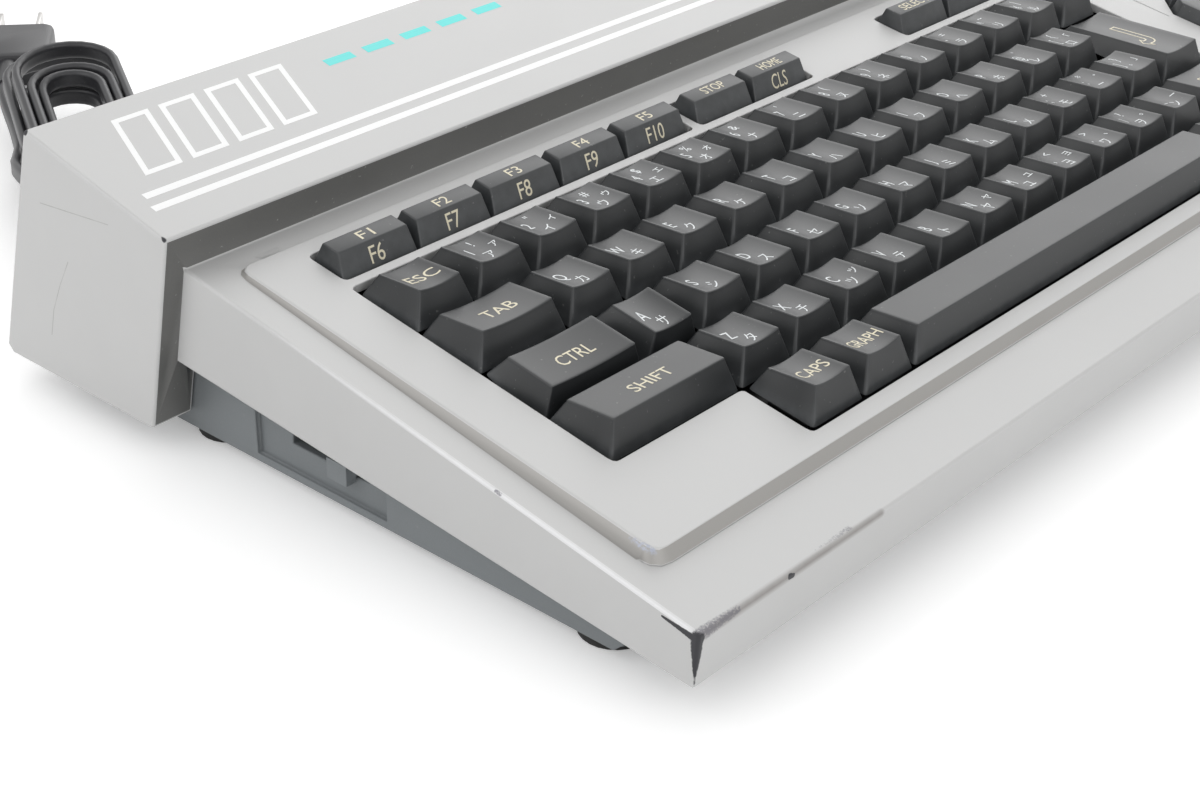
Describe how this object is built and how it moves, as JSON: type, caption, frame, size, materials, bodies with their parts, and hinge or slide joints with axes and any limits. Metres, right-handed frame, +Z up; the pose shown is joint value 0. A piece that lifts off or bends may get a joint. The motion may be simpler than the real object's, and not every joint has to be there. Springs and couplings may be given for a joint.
{
  "type": "home computer",
  "caption": "Wedge-shaped home computer with a built-in keyboard, cursor pad, raised rear box with cartridge flap, slide power switch and a captive mains lead in a hank.",
  "frame": {"origin": "centre of the footprint of the case and its feet on the desk, without the mains lead", "axes": "+X to the user's right, +Y to the back of the case, +Z up from the desk"},
  "size_m": [0.41, 0.4094, 0.0699],
  "materials": {
    "silver_paint": "satin, painted silver",
    "grey_plastic": "matt",
    "key_plastic": "satin",
    "black_plastic": "matt",
    "rubber": "matt",
    "board_green": "satin",
    "steel": "satin",
    "cord_vinyl": "satin"
  },
  "bodies": {
    "case": {"upper_case": "silver_paint", "lower_case": "grey_plastic", "foot_front_left": "rubber", "foot_front_right": "rubber", "foot_rear_left": "rubber", "foot_rear_right": "rubber", "power_switch": "black_plastic", "main_board": "board_green", "cartridge_connector": "black_plastic", "transformer": "steel", "jack_rf": "steel", "jack_video": "steel", "jack_audio": "steel", "cassette_socket": "black_plastic", "printer_socket": "black_plastic", "joystick_socket_1": "steel", "joystick_socket_2": "steel", "key_plate": "black_plastic", "cord_relief": "cord_vinyl", "power_cord": "cord_vinyl", "cord_hank": "cord_vinyl", "plug_cord": "cord_vinyl", "plug": "cord_vinyl"},
    "key_esc": {"key_esc": "key_plastic"},
    "key_1": {"key_1": "key_plastic"},
    "key_2": {"key_2": "key_plastic"},
    "key_3": {"key_3": "key_plastic"},
    "key_4": {"key_4": "key_plastic"},
    "key_5": {"key_5": "key_plastic"},
    "key_6": {"key_6": "key_plastic"},
    "key_7": {"key_7": "key_plastic"},
    "key_8": {"key_8": "key_plastic"},
    "key_9": {"key_9": "key_plastic"},
    "key_0": {"key_0": "key_plastic"},
    "key_backspace": {"key_backspace": "key_plastic"},
    "key_tab": {"key_tab": "key_plastic"},
    "key_return": {"key_return": "key_plastic"},
    "key_ctrl": {"key_ctrl": "key_plastic"},
    "key_shift_left": {"key_shift_left": "key_plastic"},
    "key_shift_right": {"key_shift_right": "key_plastic"},
    "key_caps": {"key_caps": "key_plastic"},
    "key_graph": {"key_graph": "key_plastic"},
    "key_space": {"key_space": "key_plastic"},
    "key_kana": {"key_kana": "key_plastic"},
    "key_F1": {"key_F1": "key_plastic"},
    "key_F2": {"key_F2": "key_plastic"},
    "key_F3": {"key_F3": "key_plastic"},
    "key_F4": {"key_F4": "key_plastic"},
    "key_F5": {"key_F5": "key_plastic"},
    "key_stop": {"key_stop": "key_plastic"},
    "key_home": {"key_home": "key_plastic"},
    "key_select": {"key_select": "key_plastic"},
    "key_insert": {"key_insert": "key_plastic"},
    "key_delete": {"key_delete": "key_plastic"},
    "key_right": {"key_right": "key_plastic"},
    "key_up": {"key_up": "key_plastic"},
    "key_left": {"key_left": "key_plastic"},
    "key_down": {"key_down": "key_plastic"},
    "flap": {"cartridge_flap": "silver_paint"},
    "power_lever": {"power_lever": "grey_plastic"}
  },
  "joints": [
    {"name": "key_esc_press", "type": "slide", "parent": "case", "child": "key_esc", "axis": [0, 0.1633, -0.9866], "range_m": [0, 0.0035], "stiffness_N_per_m": 160, "springref_m": -0.001},
    {"name": "key_1_press", "type": "slide", "parent": "case", "child": "key_1", "axis": [0, 0.1633, -0.9866], "range_m": [0, 0.0035], "stiffness_N_per_m": 160, "springref_m": -0.001},
    {"name": "key_2_press", "type": "slide", "parent": "case", "child": "key_2", "axis": [0, 0.1633, -0.9866], "range_m": [0, 0.0035], "stiffness_N_per_m": 160, "springref_m": -0.001},
    {"name": "key_3_press", "type": "slide", "parent": "case", "child": "key_3", "axis": [0, 0.1633, -0.9866], "range_m": [0, 0.0035], "stiffness_N_per_m": 160, "springref_m": -0.001},
    {"name": "key_4_press", "type": "slide", "parent": "case", "child": "key_4", "axis": [0, 0.1633, -0.9866], "range_m": [0, 0.0035], "stiffness_N_per_m": 160, "springref_m": -0.001},
    {"name": "key_5_press", "type": "slide", "parent": "case", "child": "key_5", "axis": [0, 0.1633, -0.9866], "range_m": [0, 0.0035], "stiffness_N_per_m": 160, "springref_m": -0.001},
    {"name": "key_6_press", "type": "slide", "parent": "case", "child": "key_6", "axis": [0, 0.1633, -0.9866], "range_m": [0, 0.0035], "stiffness_N_per_m": 160, "springref_m": -0.001},
    {"name": "key_7_press", "type": "slide", "parent": "case", "child": "key_7", "axis": [0, 0.1633, -0.9866], "range_m": [0, 0.0035], "stiffness_N_per_m": 160, "springref_m": -0.001},
    {"name": "key_8_press", "type": "slide", "parent": "case", "child": "key_8", "axis": [0, 0.1633, -0.9866], "range_m": [0, 0.0035], "stiffness_N_per_m": 160, "springref_m": -0.001},
    {"name": "key_9_press", "type": "slide", "parent": "case", "child": "key_9", "axis": [0, 0.1633, -0.9866], "range_m": [0, 0.0035], "stiffness_N_per_m": 160, "springref_m": -0.001},
    {"name": "key_0_press", "type": "slide", "parent": "case", "child": "key_0", "axis": [0, 0.1633, -0.9866], "range_m": [0, 0.0035], "stiffness_N_per_m": 160, "springref_m": -0.001},
    {"name": "key_backspace_press", "type": "slide", "parent": "case", "child": "key_backspace", "axis": [0, 0.1633, -0.9866], "range_m": [0, 0.0035], "stiffness_N_per_m": 160, "springref_m": -0.001},
    {"name": "key_tab_press", "type": "slide", "parent": "case", "child": "key_tab", "axis": [0, 0.1633, -0.9866], "range_m": [0, 0.0035], "stiffness_N_per_m": 160, "springref_m": -0.001},
    {"name": "key_return_press", "type": "slide", "parent": "case", "child": "key_return", "axis": [0, 0.1633, -0.9866], "range_m": [0, 0.0035], "stiffness_N_per_m": 160, "springref_m": -0.001},
    {"name": "key_ctrl_press", "type": "slide", "parent": "case", "child": "key_ctrl", "axis": [0, 0.1633, -0.9866], "range_m": [0, 0.002], "stiffness_N_per_m": 160, "springref_m": -0.001},
    {"name": "key_shift_left_press", "type": "slide", "parent": "case", "child": "key_shift_left", "axis": [0, 0.1633, -0.9866], "range_m": [0, 0.0035], "stiffness_N_per_m": 160, "springref_m": -0.001},
    {"name": "key_shift_right_press", "type": "slide", "parent": "case", "child": "key_shift_right", "axis": [0, 0.1633, -0.9866], "range_m": [0, 0.0035], "stiffness_N_per_m": 160, "springref_m": -0.001},
    {"name": "key_caps_press", "type": "slide", "parent": "case", "child": "key_caps", "axis": [0, 0.1633, -0.9866], "range_m": [0, 0.0035], "stiffness_N_per_m": 160, "springref_m": -0.001},
    {"name": "key_graph_press", "type": "slide", "parent": "case", "child": "key_graph", "axis": [0, 0.1633, -0.9866], "range_m": [0, 0.0035], "stiffness_N_per_m": 160, "springref_m": -0.001},
    {"name": "key_space_press", "type": "slide", "parent": "case", "child": "key_space", "axis": [0, 0.1633, -0.9866], "range_m": [0, 0.0035], "stiffness_N_per_m": 240, "springref_m": -0.001},
    {"name": "key_kana_press", "type": "slide", "parent": "case", "child": "key_kana", "axis": [0, 0.1633, -0.9866], "range_m": [0, 0.0035], "stiffness_N_per_m": 160, "springref_m": -0.001},
    {"name": "key_F1_press", "type": "slide", "parent": "case", "child": "key_F1", "axis": [0, 0.1633, -0.9866], "range_m": [0, 0.0025], "stiffness_N_per_m": 160, "springref_m": -0.001},
    {"name": "key_F2_press", "type": "slide", "parent": "case", "child": "key_F2", "axis": [0, 0.1633, -0.9866], "range_m": [0, 0.0025], "stiffness_N_per_m": 160, "springref_m": -0.001},
    {"name": "key_F3_press", "type": "slide", "parent": "case", "child": "key_F3", "axis": [0, 0.1633, -0.9866], "range_m": [0, 0.0025], "stiffness_N_per_m": 160, "springref_m": -0.001},
    {"name": "key_F4_press", "type": "slide", "parent": "case", "child": "key_F4", "axis": [0, 0.1633, -0.9866], "range_m": [0, 0.0025], "stiffness_N_per_m": 160, "springref_m": -0.001},
    {"name": "key_F5_press", "type": "slide", "parent": "case", "child": "key_F5", "axis": [0, 0.1633, -0.9866], "range_m": [0, 0.0025], "stiffness_N_per_m": 160, "springref_m": -0.001},
    {"name": "key_stop_press", "type": "slide", "parent": "case", "child": "key_stop", "axis": [0, 0.1633, -0.9866], "range_m": [0, 0.0025], "stiffness_N_per_m": 160, "springref_m": -0.001},
    {"name": "key_home_press", "type": "slide", "parent": "case", "child": "key_home", "axis": [0, 0.1633, -0.9866], "range_m": [0, 0.0025], "stiffness_N_per_m": 160, "springref_m": -0.001},
    {"name": "key_select_press", "type": "slide", "parent": "case", "child": "key_select", "axis": [0, 0.1633, -0.9866], "range_m": [0, 0.0025], "stiffness_N_per_m": 160, "springref_m": -0.001},
    {"name": "key_insert_press", "type": "slide", "parent": "case", "child": "key_insert", "axis": [0, 0.1633, -0.9866], "range_m": [0, 0.0025], "stiffness_N_per_m": 160, "springref_m": -0.001},
    {"name": "key_delete_press", "type": "slide", "parent": "case", "child": "key_delete", "axis": [0, 0.1633, -0.9866], "range_m": [0, 0.0025], "stiffness_N_per_m": 160, "springref_m": -0.001},
    {"name": "key_right_press", "type": "slide", "parent": "case", "child": "key_right", "axis": [0, 0.1633, -0.9866], "range_m": [0, 0.0025], "stiffness_N_per_m": 160, "springref_m": -0.001},
    {"name": "key_up_press", "type": "slide", "parent": "case", "child": "key_up", "axis": [0, 0.1633, -0.9866], "range_m": [0, 0.0025], "stiffness_N_per_m": 160, "springref_m": -0.001},
    {"name": "key_left_press", "type": "slide", "parent": "case", "child": "key_left", "axis": [0, 0.1633, -0.9866], "range_m": [0, 0.0025], "stiffness_N_per_m": 160, "springref_m": -0.001},
    {"name": "key_down_press", "type": "slide", "parent": "case", "child": "key_down", "axis": [0, 0.1633, -0.9866], "range_m": [0, 0.0025], "stiffness_N_per_m": 160, "springref_m": -0.001},
    {"name": "flap_hinge", "type": "hinge", "parent": "case", "child": "flap", "pos_m": [0.11, 0.0746, 0.06519], "axis": [1, 0, 0], "range_deg": [0, 84], "stiffness_Nm_per_rad": 0.0015, "springref_deg": -34.38},
    {"name": "power_slide", "type": "slide", "parent": "case", "child": "power_lever", "axis": [0, 1, 0], "range_m": [0, 0.007]}
  ]
}
